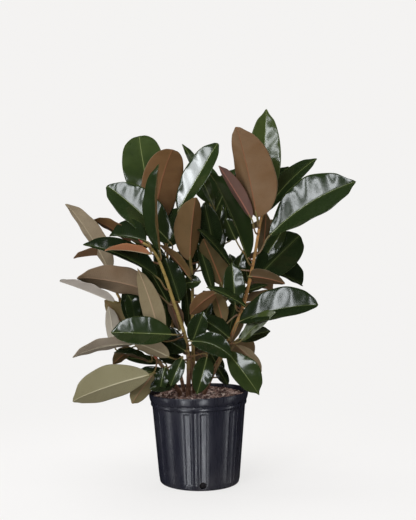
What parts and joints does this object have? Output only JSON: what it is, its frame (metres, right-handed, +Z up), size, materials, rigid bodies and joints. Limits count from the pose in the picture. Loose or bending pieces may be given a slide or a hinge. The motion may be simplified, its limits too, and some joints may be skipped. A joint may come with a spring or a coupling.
{
  "type": "potted rubber plant",
  "caption": "Rubber plant with broad glossy oval leaves on several upright canes, standing in a black ribbed plastic nursery pot.",
  "frame": {"origin": "centre of the pot's base, on the surface that it stands on", "axes": "+Z up, -Y towards the plant's front, +X to the right of someone who looks at the front"},
  "size_m": [0.73, 0.4854, 0.952],
  "materials": {
    "black_plastic": "satin, moulded",
    "potting_mix": "loose bark and peat",
    "cane_bark": "green above, brown and woody at the foot",
    "leaf": "glossy dark green above, matt bronze below",
    "young_leaf": "glossy, flushed with red"
  },
  "bodies": {
    "root": {"cane_back": "cane_bark", "cane_back_left": "cane_bark", "cane_centre": "cane_bark", "cane_far_left": "cane_bark", "cane_front_left": "cane_bark", "cane_low_left": "cane_bark", "cane_low_right": "cane_bark", "cane_rear": "cane_bark", "cane_right": "cane_bark", "leaf_01": "leaf", "leaf_02": "leaf", "leaf_03": "leaf", "leaf_04": "leaf", "leaf_05": "leaf", "leaf_07": "leaf", "leaf_08": "leaf", "leaf_09": "leaf", "leaf_10": "leaf", "leaf_11": "young_leaf", "leaf_13": "leaf", "leaf_15": "leaf", "leaf_16": "leaf", "leaf_18": "leaf", "leaf_19": "leaf", "leaf_21": "leaf", "leaf_22": "leaf", "leaf_25": "leaf", "leaf_26": "leaf", "leaf_27": "leaf", "leaf_28": "leaf", "leaf_29": "leaf", "leaf_30": "leaf", "leaf_31": "leaf", "leaf_34": "leaf", "leaf_35": "leaf", "leaf_36": "leaf", "leaf_37": "leaf", "leaf_39": "leaf", "leaf_40": "leaf", "leaf_42": "leaf", "leaf_43": "leaf", "leaf_45": "leaf", "leaf_46": "leaf", "leaf_47": "leaf", "leaf_49": "leaf", "leaf_50": "leaf", "leaf_54": "leaf", "leaf_58": "leaf", "leaf_59": "leaf", "leaf_61": "leaf", "leaf_71": "leaf", "leaf_72": "leaf", "leaf_73": "leaf", "leaf_74": "leaf", "leaf_75": "leaf", "leaf_76": "leaf", "leaf_77": "leaf", "leaf_78": "leaf", "nursery_pot": "black_plastic", "potting_mix": "potting_mix"}
  },
  "joints": []
}
